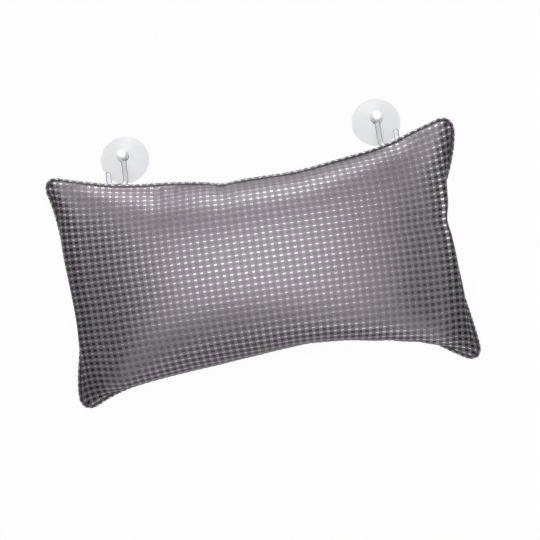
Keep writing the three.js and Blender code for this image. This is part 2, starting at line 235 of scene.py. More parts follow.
# %% [markdown]
# ## Stuffing the panels
# A cushion could be sculpted by hand, but cloth under pressure finds the right crown by itself: full
# in the middle, drawn flat in the ears, with the small puckers that sewing leaves along the seam.
# The two flat cuts share their edge. While pressure blows them up, the edge is pinned and moved from
# the flat cut to the drawn-in outline. Gravity is off, because the filling holds the cloth up.

# %% A panel pair that shares its edge
SIM_COLUMNS, SIM_ROWS = 80, 40


def quads(ids):
    return np.stack([ids[:-1, :-1], ids[1:, :-1], ids[1:, 1:], ids[:-1, 1:]], -1).reshape(-1, 4)


def new_mesh_object(name, vertices, faces):
    """An object from points in millimetres."""
    mesh = bpy.data.meshes.new(name)
    corners = faces if isinstance(faces, list) else faces.tolist()
    mesh.from_pydata((np.asarray(vertices, float) * MM).tolist(), [], corners)
    mesh.validate()
    made = bpy.data.objects.new(name, mesh)
    scene.collection.objects.link(made)
    return made


sim_s, sim_t = cut_grid(SIM_COLUMNS, SIM_ROWS)
on_edge = np.zeros(sim_s.shape, bool)
on_edge[[0, -1]] = True
on_edge[:, [0, -1]] = True
front_ids = np.arange(sim_s.size).reshape(sim_s.shape)
back_ids = front_ids.copy()
back_ids[~on_edge] = sim_s.size + np.arange((~on_edge).sum())
FIRST_SWELL = 3.0  # the panels start a little apart
swell = FIRST_SWELL * (1 - sim_s**2) * (1 - sim_t**2)


def panel_pair(flat):
    """Vertices of both panels, from their common flat shape."""
    front = np.dstack([flat, swell]).reshape(-1, 3)
    return np.concatenate([front, np.dstack([flat, -swell])[~on_edge]])


flat_cut = np.dstack([sim_s, sim_t]) * CUT / 2
sewn = panel_pair(drawn_in(sim_s, sim_t))
pair_faces = np.concatenate([quads(front_ids), quads(back_ids)[:, ::-1]])
pair = new_mesh_object("panel_pair", panel_pair(flat_cut), pair_faces)
print("panel pair", len(pair.data.vertices), "points")

# %% Blow it up
SIM_FRAMES = 30
DRAWN_BY = 15  # the frame at which the seam has reached its outline

pair.vertex_groups.new(name="seam").add(front_ids[on_edge].tolist(), 1, "REPLACE")
pair.shape_key_add(name="flat")
drawn_key = pair.shape_key_add(name="drawn")
drawn_key.data.foreach_set("co", (sewn * MM).ravel())
for at_frame, value in ((1, 0), (DRAWN_BY, 1)):
    drawn_key.value = value
    drawn_key.keyframe_insert("value", frame=at_frame)

cloth = pair.modifiers.new("cloth", "CLOTH")
cloth.collision_settings.use_collision = False
cloth.settings.quality = 6
cloth.settings.mass = 0.02
cloth.settings.tension_stiffness = 5
cloth.settings.compression_stiffness = 5
cloth.settings.shear_stiffness = 2.5
cloth.settings.bending_stiffness = 0.5
for damping in ("tension_damping", "compression_damping", "shear_damping"):
    setattr(cloth.settings, damping, 10)
cloth.settings.air_damping = 2
cloth.settings.use_pressure = True
cloth.settings.uniform_pressure_force = 100
cloth.settings.vertex_group_mass = "seam"
cloth.settings.effector_weights.gravity = 0

for number in range(1, SIM_FRAMES + 1):
    scene.frame_set(number)
blown = pair.evaluated_get(bpy.context.evaluated_depsgraph_get()).data
points = np.empty(3 * len(blown.vertices))
blown.vertices.foreach_get("co", points)
points = points.reshape(-1, 3) / MM
blown_front, blown_back = points[front_ids], points[back_ids]
pair_keys, pair_mesh = pair.data.shape_keys, pair.data
key_action = pair_keys.animation_data.action
bpy.data.objects.remove(pair)
bpy.data.meshes.remove(pair_mesh)
bpy.data.actions.remove(key_action)
scene.frame_set(1)
print("blown to", blown_front[..., 2].max().round(1), "and", blown_back[..., 2].min().round(1))

# %% [markdown]
# ## Settling the form
# The blown form is trimmed by a few named amounts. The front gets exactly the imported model's crown,
# and the filling has sunk towards the lower edge, where the front rolls over the seam and hides it.
# The back is pressed flat where it lies. Puckers run in from the seam where sewing gathered the cloth,
# a crease follows the right edge, and the rim is lifted a little to meet the piping.

# %% Puckers
PUCKERS = [  # place on the cut's edge, direction inwards, reach, width and depth
    ((-0.52, 1.0), (0, -1), 26, 20, 3.0),
    ((-0.46, 1.0), (0, -1), 12, 3.5, 1.6),
    ((-0.38, 1.0), (0, -1), 10, 3, 0.8),
    ((-0.15, 1.0), (0, -1), 9, 3, 1.8),
    ((-0.05, 1.0), (0, -1), 9, 4, 0.7),
    ((0.2, 1.0), (0, -1), 9, 4, 0.8),
    ((0.3, 1.0), (0, -1), 8, 3.5, 0.6),
    ((0.72, 1.0), (0, -1), 14, 8, 1.2),
    ((1.0, 0.17), (-1, 0), 16, 7, 0.8),
    ((0.7, -1.0), (0, 1), 16, 4, 0.7),
    ((0.55, -1.0), (0, 1), 16, 4, 0.6),
    ((-1.0, -0.3), (1, 0), 14, 8, 1.0),
]


def smooth_step(low, high, x):
    t = np.clip((x - low) / (high - low), 0, 1)
    return t * t * (3 - 2 * t)


def cloth_normals(form, up):
    along, across = np.gradient(form, axis=0), np.gradient(form, axis=1)
    normal = np.cross(along, across) * up
    return normal / np.maximum(np.linalg.norm(normal, axis=-1, keepdims=True), 1e-9)


def puckered(form, up):
    """The form with folds pulled in from the seam; up is 1 in front and -1 behind."""
    grid_s, grid_t = cut_grid(form.shape[0] - 1, form.shape[1] - 1)
    pull = np.zeros(grid_s.shape)
    for (s, t), (ds, dt), reach, width, depth in PUCKERS:
        inward = ((grid_s - s) * ds * CUT[0] + (grid_t - t) * dt * CUT[1]) / 2
        beside = ((grid_s - s) * dt * CUT[0] + (grid_t - t) * ds * CUT[1]) / 2
        spread = width * (1 + inward / reach)
        pull += depth * (inward / reach) * np.exp(1 - inward / reach - (beside / spread) ** 2)
    return form - cloth_normals(form, up) * pull[..., None]


print("puckers", len(PUCKERS))

# %% Crease and rim
CREASE_IN, CREASE_WIDTH, CREASE_DEPTH = 6.5, 2.0, 1.8  # a crease that runs along the right edge
CREASE_ENDS = (-0.9, -0.65, -0.2, 0.05)  # where it starts, is full, fades and stops on the cut
RIM_LIFT, END_RIM_LIFT = 0.9, 0.2  # the cloth meets the piping above the middle of its roll
RIM_WIDTH = 3.0


def edge_creased(form, up):
    """The form with the crease inside its right edge, and with its rim lifted against the piping."""
    grid_s, grid_t = cut_grid(form.shape[0] - 1, form.shape[1] - 1)
    start, full, fade, stop = CREASE_ENDS
    share = smooth_step(start, full, grid_t) * (1 - smooth_step(fade, stop, grid_t))
    inward = (1 - grid_s) * CUT[0] / 2
    pull = (up > 0) * CREASE_DEPTH * share * np.exp(-(((inward - CREASE_IN) / CREASE_WIDTH) ** 2))
    creased = form - cloth_normals(form, up) * pull[..., None]
    from_end, from_side = ((1 - np.abs(a)) * b / 2 for a, b in zip((grid_s, grid_t), CUT))
    rims = ((RIM_LIFT, from_side), (END_RIM_LIFT, from_end))
    lifts = [lift * (1 - smooth_step(0, RIM_WIDTH, off)) for lift, off in rims]
    creased[..., 2] += up * np.maximum(*lifts)
    return creased


print("crease", CREASE_DEPTH, "mm deep, rim lifted", RIM_LIFT, "mm")

# %% Evening out
EVENING_ROUNDS = 6
EVENED = (0.3, 0.7)  # how far out on the cut it starts, and is full


def evened(form):
    """The form with the ripples along its seams evened out; the seam itself stays."""
    seam_plane = np.dstack([drawn_in(sim_s, sim_t), 0 * sim_s])
    offset = form - seam_plane
    for axis, across in ((0, sim_t), (1, sim_s)):
        even = offset.copy()
        for _ in range(EVENING_ROUNDS):
            ends = np.take(even, [0, -1], axis)
            even = (np.roll(even, 1, axis) + 2 * even + np.roll(even, -1, axis)) / 4
            if axis == 0:
                even[[0, -1]] = ends
            else:
                even[:, [0, -1]] = ends
        share = smooth_step(*EVENED, np.abs(across))[..., None]
        offset += (even - offset) * share
    return seam_plane + offset


front_form, back_form = evened(blown_front), evened(blown_back)
print("evened front", front_form[..., 2].max().round(1), "mm over the seam")

# %% Crown, sag and rest
FRONT_CROWN = 46.0
SAG = 9.0  # how far the filling rolls out over the lower seam
SAG_WIDTH = 0.2  # over what share of the cut
SAG_ENDS = (0.72, 0.97)  # how far out along the cut it fades, and stops
FIRM_AT, FIRM_REACH, FIRM = 0.17, 0.3, 0.25  # where along the cut it rolls out less, how far, by how much
REST_START = 22.0  # the depth behind the seam from which the back is pressed in
REST_FIRMNESS = 1.4  # how soon it is flat

front_form[..., 2] *= FRONT_CROWN / front_form[..., 2].max()
lower = (sim_t + 1) / SAG_WIDTH
roll = lower * np.exp(1 - lower) * (1 - smooth_step(*SAG_ENDS, np.abs(sim_s)))
roll *= 1 - FIRM * np.exp(-(((sim_s - FIRM_AT) / FIRM_REACH) ** 2))
front_form[..., 1] -= SAG * roll

room_left = SEAM_Z - REST_START
pressed = np.tanh(np.maximum(-back_form[..., 2] - REST_START, 0) / room_left * REST_FIRMNESS)
back_form[..., 2] = np.maximum(back_form[..., 2], -REST_START) - room_left * pressed
back_form[..., 2] = np.maximum(back_form[..., 2], -SEAM_Z)
for form in (front_form, back_form):
    form[..., 2] += SEAM_Z
print("across the middle", front_form[SIM_COLUMNS // 2, ::4, 1:].round().tolist())
print("along the middle", front_form[::8, SIM_ROWS // 2, ::2].round().tolist())
print("front top", front_form[..., 2].max().round(2), "back bottom", back_form[..., 2].min().round(2))

# %% [markdown]
# ## The woven relief
# The cloth is a dobby mesh: short glossy floats stand up in rows, and between them, half a step over,
# small pits sink in. Both are real relief here. The stuffed form is sampled on a grid that fits the
# weave, six steps to a repeat, and every point is moved along the cloth's normal by the weave's height.
# Over the ends and the lower edge, where the cloth leans away from the light, and near the end seams, the
# finish paints shade into the cloth's colour. The cloth's own lean and the distance from the end seams say
# how much, and each point keeps the number for the finish.

# %% A finer grid over the stuffed form
REPEATS = np.array([60, 36])  # weave repeats along and across the cut
STEPS = 6  # grid steps in a repeat


def resampled(values, axis, count):
    """Values sampled at count + 1 even steps along an axis of the grid, on a smooth curve."""
    size = values.shape[axis] - 1
    at = np.linspace(0, size, count + 1)
    i = np.clip(at.astype(int), 0, size - 1)
    shape = [-1 if k == axis else 1 for k in range(values.ndim)]
    t = (at - i).reshape(shape)
    near = [np.take(values, np.clip(i + k, 0, size), axis) for k in (-1, 0, 1, 2)]
    first, second, third, fourth = near
    bend = 2 * first - 5 * second + 4 * third - fourth
    twist = -first + 3 * second - 3 * third + fourth
    return second + 0.5 * t * ((third - first) + t * (bend + t * twist))


def fine_form(form):
    columns, rows = REPEATS * STEPS
    return resampled(resampled(form, 0, columns), 1, rows)


print("grid", REPEATS * STEPS)

# %% Floats and pits
FLOAT_SIZE = np.array([0.22, 0.12])  # half widths, in repeats
PIT_SIZE = np.array([0.27, 0.22])
FLOAT_HEIGHT = 0.3
PIT_DEPTH = 0.04
SOFT = 0.05


def dash(cut, size, shift):
    """1 inside a row's dashes and 0 between them, for cut coordinates in repeats."""
    off = np.abs((cut + shift) % 1 - 0.5)
    return np.prod(1 - smooth_step(size - SOFT, size + SOFT, off), axis=-1)


def weave_height(cut):
    return FLOAT_HEIGHT * dash(cut, FLOAT_SIZE, 0) - PIT_DEPTH * dash(cut, PIT_SIZE, 0.5)


def add_cut_attribute(made, cut):
    """Keeps each point's place on the cut, in repeats, for the weave's material."""
    attribute = made.data.attributes.new("cut", "FLOAT_VECTOR", "POINT")
    attribute.data.foreach_set("vector", np.dstack([cut, 0 * cut[..., :1]]).astype(np.float32).ravel())


def add_painted_shade_attribute(made, painted_shade):
    """Keeps how much painted shade each point gets, from 0 to 1."""
    attribute = made.data.attributes.new("painted_shade", "FLOAT", "POINT")
    attribute.data.foreach_set("value", np.asarray(painted_shade, np.float32).ravel())


print("float", FLOAT_HEIGHT, "mm high")

# %% Where the painted shade falls
LEFT_LEAN = (0.15, 0.34)  # the lean towards the left end at which the painted shade starts, and is full
RIGHT_LEAN = (0.24, 0.37)
LOWER_LEAN = (0.04, 0.66)
LEAN_SHADE = 0.82  # how much painted shade leaning alone gives
END_SHADE_REACH = (20.0, 56.0)  # up to how far from the end seams the painted shade is full, and reaches at all
CORNER_FROM, CORNER_REACH_SHARE = 0.75, 0.3  # from where up the cut that distance shrinks, and to what share


def painted_shade_amount(form, cut, up):
    """How much painted shade each point gets, from 0 to 1: more where the cloth leans to the ends or the
    lower edge, away from the light, and near the end seams.
    """
    slope = cloth_normals(form, up)
    leans = ((LEFT_LEAN, -slope[..., 0]), (RIGHT_LEAN, slope[..., 0]), (LOWER_LEAN, -slope[..., 1]))
    lean_shades = [np.clip((lean - start) / (full - start), 0, 1) for (start, full), lean in leans]
    from_end = (0.5 - np.abs(cut[..., 0] / REPEATS[0] - 0.5)) * CUT[0]
    reach = 1 + (CORNER_REACH_SHARE - 1) * smooth_step(CORNER_FROM, 1, cut[..., 1] / REPEATS[1])
    seam_end_shade = 1 - smooth_step(*END_SHADE_REACH, from_end / reach)
    return np.maximum(LEAN_SHADE * smooth_step(0, 1, np.linalg.norm(lean_shades, axis=0)), seam_end_shade)


# The leans at which the painted shade starts.
print("pits open from leans of", LEFT_LEAN[0], RIGHT_LEAN[0], LOWER_LEAN[0])

# %% Both covers
EDGE_FADE = 0.5  # repeats from the seam over which the relief grows


def shade_smooth(made):
    made.data.shade_smooth()
    return made


def woven_cover(name, form, up):
    """A panel's cloth with its weave, from its stuffed form; up is 1 in front and -1 behind."""
    smooth = fine_form(form)
    fine = edge_creased(puckered(smooth, up), up)
    cut = (np.dstack(cut_grid(*(REPEATS * STEPS))) + 1) / 2 * REPEATS
    edge_fade = smooth_step(0, EDGE_FADE, np.minimum(cut, REPEATS - cut).min(-1))
    fine = fine + cloth_normals(fine, up) * (edge_fade * weave_height(cut))[..., None]
    if up < 0:
        fine[..., 2] = np.maximum(fine[..., 2], 0)
    ids = np.arange(fine.shape[0] * fine.shape[1]).reshape(fine.shape[:2])
    made = new_mesh_object(name, fine.reshape(-1, 3), quads(ids)[:, ::up])
    add_cut_attribute(made, cut)
    add_painted_shade_attribute(made, painted_shade_amount(smooth, cut, up))
    return shade_smooth(made)


front_cover = woven_cover("front_cover", front_form, 1)
back_cover = woven_cover("back_cover", back_form, -1)
for cover, node in ((front_cover, "front_panel"), (back_cover, "back_panel")):
    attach(cover, "pillow")
    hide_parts(node)
    print(cover.name, len(cover.data.polygons), "faces")

# %% [markdown]
# ## The weave's finish
# The same pattern also drives the finish: floats are paler and glossier, and the pits, which are real in
# the weave, get painted shade in their holes. It is faint in the middle and black where the cloth leans away
# from the light and near the end seams, where the ground is darkened with painted shade too. The ground
# between is a soft grey with a fine rib of single threads. The yarn is a filament with a metal-like sheen.
# The piping is folded from the same cloth, so the pattern is a node group that takes a place on the cut and
# gives masks.

# %% Node helpers
def maths(tree, operation, *inputs):
    node = tree.nodes.new("ShaderNodeMath")
    node.operation = operation
    for socket, value in zip(node.inputs, inputs):
        if isinstance(value, (int, float)):
            socket.default_value = value
        else:
            tree.links.new(value, socket)
    return node.outputs[0]


def falling(tree, value, start, end):
    """1 up to start, 0 from end on, smooth between."""
    node = tree.nodes.new("ShaderNodeMapRange")
    node.interpolation_type = "SMOOTHSTEP"
    node.inputs["From Min"].default_value = start
    node.inputs["From Max"].default_value = end
    node.inputs["To Min"].default_value = 1
    node.inputs["To Max"].default_value = 0
    tree.links.new(value, node.inputs["Value"])
    return node.outputs[0]


def colour_mix(tree, share, first, second):
    node = tree.nodes.new("ShaderNodeMix")
    node.data_type = "RGBA"
    for socket, value in zip((node.inputs[0], node.inputs[6], node.inputs[7]), (share, first, second)):
        if isinstance(value, bpy.types.NodeSocket):
            tree.links.new(value, socket)
        else:
            socket.default_value = value
    return node.outputs[2]


def value_mix(tree, share, first, second):
    """first where share is 0, second where it is 1."""
    span = maths(tree, "SUBTRACT", second, first)
    return maths(tree, "ADD", first, maths(tree, "MULTIPLY", share, span))


def new_group(name, inputs, outputs):
    group = bpy.data.node_groups.new(name, "ShaderNodeTree")
    for socket, kind in inputs:
        group.interface.new_socket(socket, in_out="INPUT", socket_type=kind)
    for socket, kind in outputs:
        group.interface.new_socket(socket, in_out="OUTPUT", socket_type=kind)
    return group, group.nodes.new("NodeGroupInput"), group.nodes.new("NodeGroupOutput")


def bumpy(tree, skin, height, strength, distance):
    """Lets a height stand out of the skin, by a distance in metres."""
    bump = tree.nodes.new("ShaderNodeBump")
    bump.inputs["Strength"].default_value = strength
    bump.inputs["Distance"].default_value = distance
    tree.links.new(height, bump.inputs["Height"])
    tree.links.new(bump.outputs[0], skin.inputs["Normal"])


print("node helpers ready")

# %% The weave group
VECTOR, FLOAT = "NodeSocketVector", "NodeSocketFloat"
weave, weave_in, weave_out = new_group(
    "dobby_weave", [("Cut", VECTOR)], [("Float", FLOAT), ("Pit", FLOAT), ("Thread", FLOAT)]
)
split = weave.nodes.new("ShaderNodeSeparateXYZ")
weave.links.new(weave_in.outputs["Cut"], split.inputs[0])


def dash_mask(size, shift):
    sides = []
    for place, half in zip((split.outputs[0], split.outputs[1]), size):
        off = maths(weave, "FRACT", maths(weave, "ADD", place, shift))
        off = maths(weave, "ABSOLUTE", maths(weave, "SUBTRACT", off, 0.5))
        sides.append(falling(weave, off, half - SOFT / 2, half + SOFT / 2))
    return maths(weave, "MULTIPLY", *sides)


weave.links.new(dash_mask(FLOAT_SIZE.tolist(), 0.0), weave_out.inputs["Float"])
weave.links.new(dash_mask(PIT_SIZE.tolist(), 0.5), weave_out.inputs["Pit"])
THREADS = (7, 6)  # threads in a repeat, along and across
waves = []
for place, count in zip((split.outputs[0], split.outputs[1]), THREADS):
    wave = maths(weave, "SINE", maths(weave, "MULTIPLY", place, 2 * math.pi * count))
    waves.append(maths(weave, "MULTIPLY_ADD", wave, 0.5, 0.5))
weave.links.new(maths(weave, "MULTIPLY", *waves), weave_out.inputs["Thread"])
print("weave group", [s.name for s in weave.interface.items_tree])

# %% The cover's material
GROUND = (0.256, 0.233, 0.257, 1)
GROUND_DARK = (0.195, 0.175, 0.198, 1)
FLOAT_COLOUR = (0.35, 0.335, 0.338, 1)
# painted shade: the colour of the pits' holes and of the ground where it is shaded
SHADE_COLOUR = (0.008, 0.0075, 0.011, 1)
UNSHADED_PIT = 0.28  # how far a pit still takes its painted shade where the point has none
GROUND_SHADE = 0.52  # how much painted shade darkens the ground, by the square of the point's amount
ROUGHNESS = {"ground": 0.48, "float": 0.24, "pit": 0.3}
METAL_SHEEN = {"ground": 0.68, "float": 0.75, "pit": 0.0}
CLOTH_IOR = 1.25
THREAD_BUMP = (0.35, 0.0002)  # strength, and height in metres


def new_material(name):
    material = bpy.data.materials.new(name)
    material.use_nodes = True
    return material, material.node_tree, material.node_tree.nodes["Principled BSDF"]


def woven_material(name, ground, ground_dark, float_colour, shade_colour):
    material, tree, skin = new_material(name)
    place = tree.nodes.new("ShaderNodeAttribute")
    place.attribute_name = "cut"
    pattern = tree.nodes.new("ShaderNodeGroup")
    pattern.node_tree = weave
    tree.links.new(place.outputs["Vector"], pattern.inputs["Cut"])
    floats, pits, thread = (pattern.outputs[k] for k in ("Float", "Pit", "Thread"))
    painted_shade = tree.nodes.new("ShaderNodeAttribute")
    painted_shade.attribute_name = "painted_shade"
    # Painted shade: the pits darken a little everywhere and go black where the point's painted shade is full,
    # and the ground darkens towards the shade colour by its square.
    pits = maths(tree, "MULTIPLY", pits, value_mix(tree, painted_shade.outputs["Fac"], UNSHADED_PIT, 1.0))
    colour = colour_mix(tree, thread, ground_dark, ground)
    shade = maths(tree, "MULTIPLY", maths(tree, "POWER", painted_shade.outputs["Fac"], 2.0), GROUND_SHADE)
    colour = colour_mix(tree, shade, colour, shade_colour)
    colour = colour_mix(tree, floats, colour, float_colour)
    colour = colour_mix(tree, pits, colour, shade_colour)
    tree.links.new(colour, skin.inputs["Base Color"])
    for socket, values in (("Roughness", ROUGHNESS), ("Metallic", METAL_SHEEN)):
        woven = value_mix(tree, floats, values["ground"], values["float"])
        tree.links.new(value_mix(tree, pits, woven, values["pit"]), skin.inputs[socket])
    skin.inputs["IOR"].default_value = CLOTH_IOR
    bumpy(tree, skin, thread, *THREAD_BUMP)
    return material


cover_cloth = woven_material("grey_dobby_mesh", GROUND, GROUND_DARK, FLOAT_COLOUR, SHADE_COLOUR)
for cover in (front_cover, back_cover):
    cover.data.materials.append(cover_cloth)
print("cover material", cover_cloth.name)

# %% [markdown]
# ## Piping
# A thin roll of the same cloth is caught in the seam all the way round. It is swept along the seam's
# own outline. Its section swells and thins in a slow twist, because the weave wraps round the roll.
# The roll takes the full painted shade all round, except along the left of the upper edge, where it takes
# less and looks paler.

# %% Piping
PIPING_RADIUS = 1.5
PIPING_OUT = 0.9  # from the seam line to the middle of the roll
PIPING_STEP = 1.2
PIPING_SIDES = 12
TWIST_PITCH = 4.4  # along the seam, between one strand and the next
TWIST_DEPTH = 0.16
SEAM_SAMPLES = 400  # on each edge
ROLL_REPEAT, ROLL_ROUND = 6.6, 3  # a weave repeat along the roll, and repeats round it
UPPER_UNSHADED = 0.9  # how much of the roll's painted shade is taken off along the left of the upper edge
UPPER_FROM, UPPER_LEFT, UPPER_RIGHT = (0, 60), (-185, -165), (20, 110)  # where that starts and ends
PIPING_COLOURS = [  # ground, dark ground, floats, and the painted shade of pits and shaded ground
    (0.2, 0.19, 0.205, 1), (0.12, 0.112, 0.125, 1), (0.4, 0.38, 0.4, 1), (0.02, 0.02, 0.022, 1),
]


def seam_loop(samples):
    """Points round the seam, anticlockwise from the lower left corner."""
    s, t = cut_grid(samples, samples)
    edges = [np.concatenate([a[:-1, 0], a[-1, :-1], a[:0:-1, -1], a[0, :0:-1]]) for a in (s, t)]
    return drawn_in(*edges)


def evenly(loop, step):
    """The closed loop again, with points a step apart."""
    closed = np.vstack([loop, loop[:1]])
    run = np.concatenate([[0], np.cumsum(np.linalg.norm(np.diff(closed, axis=0), axis=1))])
    count = int(run[-1] / step)
    at = np.linspace(0, run[-1], count, endpoint=False)
    return np.column_stack([np.interp(at, run, closed[:, k]) for k in range(closed.shape[1])]), at


seam_path, seam_run = evenly(seam_loop(SEAM_SAMPLES), PIPING_STEP)
tangent = np.roll(seam_path, -1, 0) - np.roll(seam_path, 1, 0)
tangent /= np.linalg.norm(tangent, axis=1, keepdims=True)
outward = np.column_stack([tangent[:, 1], -tangent[:, 0]])
angles = np.linspace(0, 2 * math.pi, PIPING_SIDES, endpoint=False)
strand = np.cos(2 * angles[None, :] - 2 * math.pi * seam_run[:, None] / TWIST_PITCH)
radius = PIPING_RADIUS * (1 + TWIST_DEPTH * strand)
out = PIPING_OUT + radius * np.cos(angles)
roll_points = np.dstack([
    seam_path[:, None, 0] + outward[:, None, 0] * out,
    seam_path[:, None, 1] + outward[:, None, 1] * out,
    SEAM_Z + radius * np.sin(angles),
])


def tube_faces(count, sides, closed):
    """Faces of a tube of count rings; a closed one joins its last ring to its first."""
    ids = np.arange(count * sides).reshape(count, sides)
    if closed:
        ids = np.vstack([ids, ids[:1]])
    return quads(np.hstack([ids, ids[:, :1]]))


roll_faces = tube_faces(len(seam_path), PIPING_SIDES, True)
piping = new_mesh_object("seam_piping", roll_points.reshape(-1, 3), roll_faces)
around = np.linspace(0, ROLL_ROUND, PIPING_SIDES, endpoint=False)
add_cut_attribute(piping, np.dstack(np.broadcast_arrays(seam_run[:, None] / ROLL_REPEAT, around[None, :])))
seam_x, seam_y = seam_path.T
upper = smooth_step(*UPPER_FROM, seam_y) * (1 - smooth_step(*UPPER_RIGHT, seam_x))
upper *= smooth_step(*UPPER_LEFT, seam_x)
# Painted shade: full on the roll, less along the left of the upper edge.
add_painted_shade_attribute(piping, np.repeat(1 - UPPER_UNSHADED * upper, PIPING_SIDES))
shade_smooth(piping).data.materials.append(woven_material("piping_cloth", *PIPING_COLOURS))
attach(piping, "pillow")
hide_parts("edge_piping")
print("piping", round(seam_run[-1]), "mm round the seam")

# %% [markdown]
# ## Filling
# Nothing of the fibre shows, but the pillow isn't hollow. The stuffed form again, drawn in under the
# cloth, gives the filling its shape.

# %% Filling
FILL_SHRINK = np.array([0.955, 0.93])
FILL_SKIN = 3.0  # the space left for the cloth
FILL_LOFT = 0.98
FIBRE_SHADES = (0.72, 0.71, 0.67, 1), (0.92, 0.91, 0.88, 1)


def filling_panel(form):
    inner = form.copy()
    inner[..., :2] *= FILL_SHRINK
    rise = inner[..., 2] - SEAM_Z
    inner[..., 2] = SEAM_Z + np.sign(rise) * np.maximum(np.abs(rise) - FILL_SKIN, 0) * FILL_LOFT
    return inner


fill_front, fill_back = filling_panel(front_form), filling_panel(back_form)
fill_points = np.concatenate([fill_front.reshape(-1, 3), fill_back[~on_edge]])
filling = shade_smooth(new_mesh_object("fibre_fill", fill_points, pair_faces))
fibre, tree, skin = new_material("polyester_fibre")
noise = tree.nodes.new("ShaderNodeTexNoise")
noise.inputs["Scale"].default_value = 180
noise.inputs["Detail"].default_value = 6
tree.links.new(colour_mix(tree, noise.outputs[0], *FIBRE_SHADES), skin.inputs["Base Color"])
skin.inputs["Roughness"].default_value = 0.95
filling.data.materials.append(fibre)
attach(filling, "pillow")
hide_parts("fibre_filling")
print("filling", len(filling.data.vertices), "points")

# %% [markdown]
# ## Hanging loops
# A short woven tape goes round the hook's rod, and both its ends are caught under the piping. It is a
# flat ribbon swept along its path beside the joint, so the hook turns inside it.

# %% Tape loops
TAPE_WIDTH, TAPE_THICKNESS = 5.0, 0.6
EYE_RADIUS = 2.9  # to the middle of the tape
EYE_FROM, EYE_TO, EYE_STEPS = math.radians(168), math.radians(450), 40  # its turn round the rod
TAIL_TOP = 8.9  # above the rod's middle, inside the piping
joints = {joint["name"]: joint for joint in frame["joints"]}


def ribbon_section():
    """A flat section with rounded edges: (across the width, through the thickness)."""
    bead = np.linspace(-math.pi / 2, math.pi / 2, 5)
    half = TAPE_WIDTH / 2 - TAPE_THICKNESS / 2
    right = np.column_stack([half + np.cos(bead) * TAPE_THICKNESS / 2, np.sin(bead) * TAPE_THICKNESS / 2])
    flat_top = np.column_stack([np.linspace(half, -half, 7)[1:-1], np.full(5, TAPE_THICKNESS / 2)])
    return np.vstack([right, flat_top, -right, -flat_top])


def tape_path():
    """The loop's middle line in the plane across the rod: (towards the cups, up)."""
    eye = np.linspace(EYE_FROM, EYE_TO, EYE_STEPS)
    ring = EYE_RADIUS * np.column_stack([np.cos(eye), np.sin(eye)])
    inner_tail = np.array([[-0.3, TAIL_TOP], [-0.4, 7.2], [-1.0, 5.0], [-2.2, 2.6]])
    outer_tail = np.array([[0.55, 4.1], [0.4, 5.6], [0.3, TAIL_TOP]])
    return np.vstack([inner_tail, ring, outer_tail])


def tape_loop(side):
    hinge = np.array(joints[f"{side}_hook_swing"]["pos_m"]) / MM
    path, section = tape_path(), ribbon_section()
    heading = np.gradient(path, axis=0)
    heading /= np.linalg.norm(heading, axis=1, keepdims=True)
    off = np.column_stack([-heading[:, 1], heading[:, 0]])
    flat = path[:, None] + off[:, None] * section[None, :, 1:]
    width = np.broadcast_to(section[None, :, :1], (*flat.shape[:2], 1))
    points = hinge + np.dstack([width, flat])
    faces = tube_faces(len(path), len(section), False).tolist()
    ends = np.arange(len(path) * len(section)).reshape(len(path), -1)
    faces += [ends[0].tolist(), ends[-1][::-1].tolist()]
    made = new_mesh_object(f"{side}_tape_loop", points.reshape(-1, 3), faces)
    run = np.concatenate([[0], np.cumsum(np.linalg.norm(np.diff(path, axis=0), axis=1))])
    add_cut_attribute(made, np.dstack(np.broadcast_arrays(section[None, :, 0], run[:, None])))
    return shade_smooth(made)


tape_run = np.linalg.norm(np.diff(tape_path(), axis=0), axis=1).sum()
print("tape", tape_run.round(1), "mm in a loop")

# %% The tape's ribs
RIB = 2 * math.pi / 0.9  # one rib every 0.9 mm of tape
WARP = 1.3 * RIB
TAPE_SHADES = (0.1, 0.095, 0.108, 1), (0.2, 0.19, 0.21, 1)
tape, tree, skin = new_material("grey_tape")
place = tree.nodes.new("ShaderNodeAttribute")
place.attribute_name = "cut"
split_tape = tree.nodes.new("ShaderNodeSeparateXYZ")
tree.links.new(place.outputs["Vector"], split_tape.inputs[0])
rib = maths(tree, "SINE", maths(tree, "MULTIPLY", split_tape.outputs[1], RIB))
warp = maths(tree, "SINE", maths(tree, "MULTIPLY", split_tape.outputs[0], WARP))
ribs = maths(tree, "MULTIPLY_ADD", maths(tree, "MULTIPLY", rib, warp), 0.5, 0.5)
tree.links.new(colour_mix(tree, ribs, *TAPE_SHADES), skin.inputs["Base Color"])
skin.inputs["Roughness"].default_value = 0.7
bumpy(tree, skin, ribs, 0.6, 0.0003)
for side in ("left", "right"):
    loop = tape_loop(side)
    loop.data.materials.append(tape)
    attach(loop, "pillow")
    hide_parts(f"{side}_hanging_loop")
    print(loop.name, len(loop.data.vertices), "points")

# %% [markdown]
# ## Clear hooks
# Each hook is one moulding: a round rod that runs from a collar down to a U and up to a rounded tip.
# The rod is swept in the hook's own plane, the collar is turned, and the two are joined by a boolean,
# because see-through plastic would show every face left inside. Clear plastic looks dark at its edges,
# where it is seen at a slant: Layer Weight finds them, and that dark is painted into the colour there as
# painted shade. The thick knob of a cup is milky instead.

# %% Clear materials
FLOW_MARKS = 0.97  # how dim the darkest flow mark is


